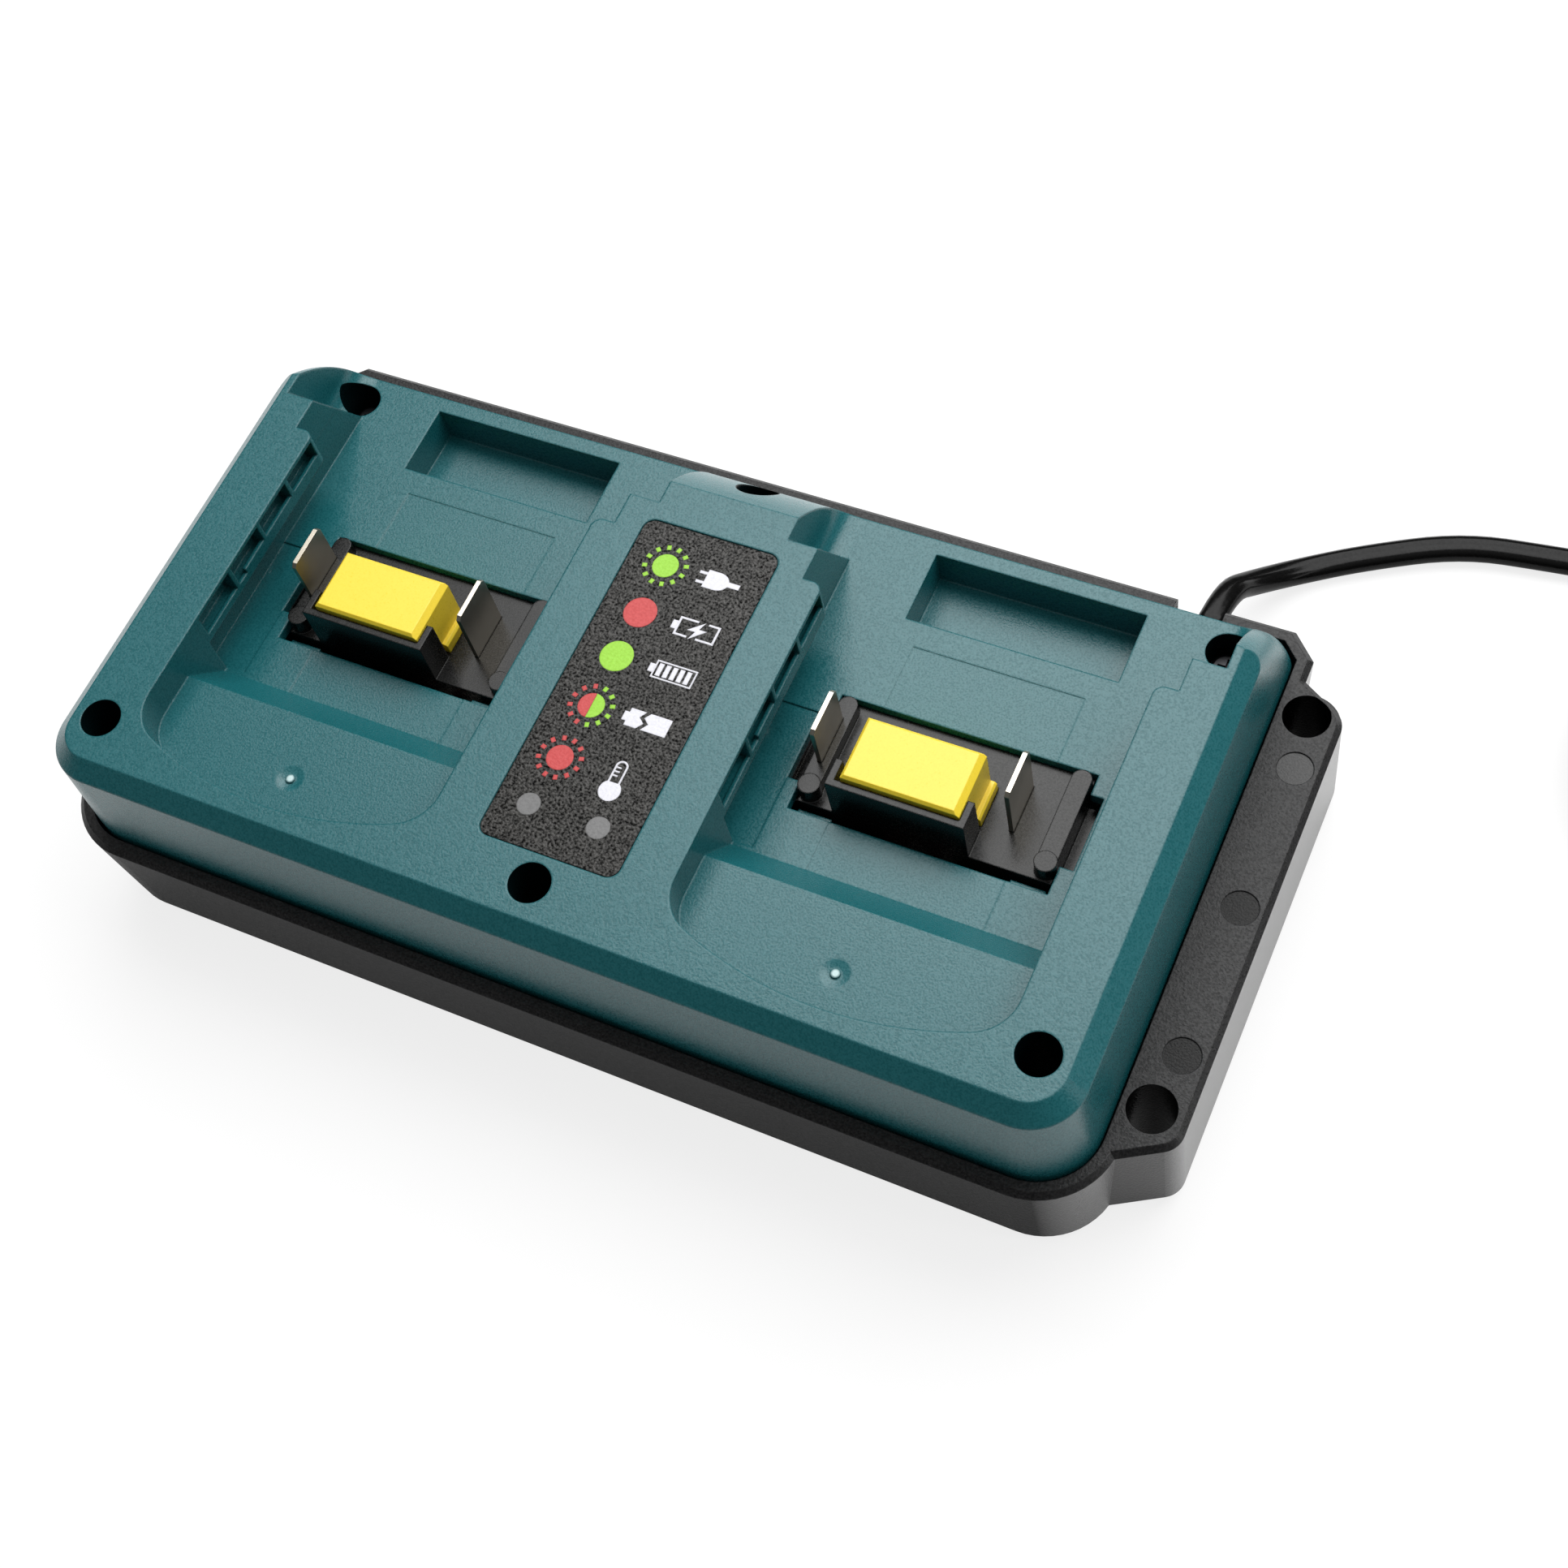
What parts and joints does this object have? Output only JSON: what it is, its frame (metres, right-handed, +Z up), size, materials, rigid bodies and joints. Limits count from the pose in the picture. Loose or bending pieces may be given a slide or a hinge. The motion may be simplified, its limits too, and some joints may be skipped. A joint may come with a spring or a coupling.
{
  "type": "power tool battery charger",
  "caption": "Flat bench charger for slide-on tool batteries: teal cover with rail bays over a grey tray with a wall-mounting ear and a mains cord.",
  "frame": {"origin": "middle of the case's box, ear included, on the table under the rubber feet", "axes": "+Z up, +X to the end with the ear, +Y to the open back where the batteries slide in"},
  "size_m": [0.3114, 0.1558, 0.045],
  "materials": {
    "teal_housing": "fine spark-eroded texture",
    "grey_housing": "fine spark-eroded texture",
    "label_film": "grained film",
    "black_moulding": "satin",
    "yellow_moulding": "satin",
    "plated_contact": "nickel plated",
    "steel": "zinc plated",
    "bracket_plastic": "satin",
    "foot_rubber": "matte",
    "cord_rubber": "satin",
    "tie_fabric": "woven",
    "prong_brass": "bright",
    "board": "solder mask",
    "ferrite": "matte",
    "winding_tape": "polyester tape",
    "capacitor_sleeve": "shrink sleeve",
    "sink_aluminium": "extruded",
    "diode_epoxy": "moulded",
    "fuse_glass": "clear",
    "clip_brass": "tin plated",
    "socket_nylon": "natural nylon",
    "lead_sheath": "insulated wire",
    "ribbon": "flat cable",
    "guide_acrylic": "frosted acrylic",
    "lamp_epoxy": "clear lens"
  },
  "bodies": {
    "case": {"top_cover": "teal_housing", "base_tray": "grey_housing", "indicator_label": "label_film", "left_block_retainer": "bracket_plastic", "right_block_retainer": "bracket_plastic", "retainer_screws": "steel", "case_screws": "steel", "board_screws": "steel", "rubber_feet": "foot_rubber", "indicator_board": "board", "indicator_screws": "steel", "indicator_lamps": "lamp_epoxy", "light_guides": "guide_acrylic", "indicator_ribbon": "ribbon", "main_board": "board", "transformer_core": "ferrite", "transformer_winding": "winding_tape", "bulk_capacitors": "capacitor_sleeve", "output_capacitors": "capacitor_sleeve", "heatsinks": "sink_aluminium", "power_diodes": "diode_epoxy", "line_choke": "ferrite", "line_fuse": "fuse_glass", "fuse_clips": "clip_brass", "lead_sockets": "socket_nylon", "left_bay_leads": "lead_sheath", "right_bay_leads": "lead_sheath", "supply_socket": "socket_nylon", "supply_lead": "cord_rubber", "strain_relief": "cord_rubber", "power_cord": "cord_rubber", "cord_coil": "cord_rubber", "coil_tie": "tie_fabric", "mains_plug": "cord_rubber", "plug_prongs": "prong_brass"},
    "left_block": {"left_terminal_block": "black_moulding", "left_signal_connector": "yellow_moulding", "left_charge_blade": "plated_contact", "left_return_blade": "plated_contact"},
    "right_block": {"right_terminal_block": "black_moulding", "right_signal_connector": "yellow_moulding", "right_charge_blade": "plated_contact", "right_return_blade": "plated_contact"}
  },
  "joints": [
    {"name": "left_block_float", "type": "slide", "parent": "case", "child": "left_block", "axis": [0, 1, 0], "range_m": [-0.0008, 0]},
    {"name": "right_block_float", "type": "slide", "parent": "case", "child": "right_block", "axis": [0, 1, 0], "range_m": [-0.0008, 0]}
  ]
}
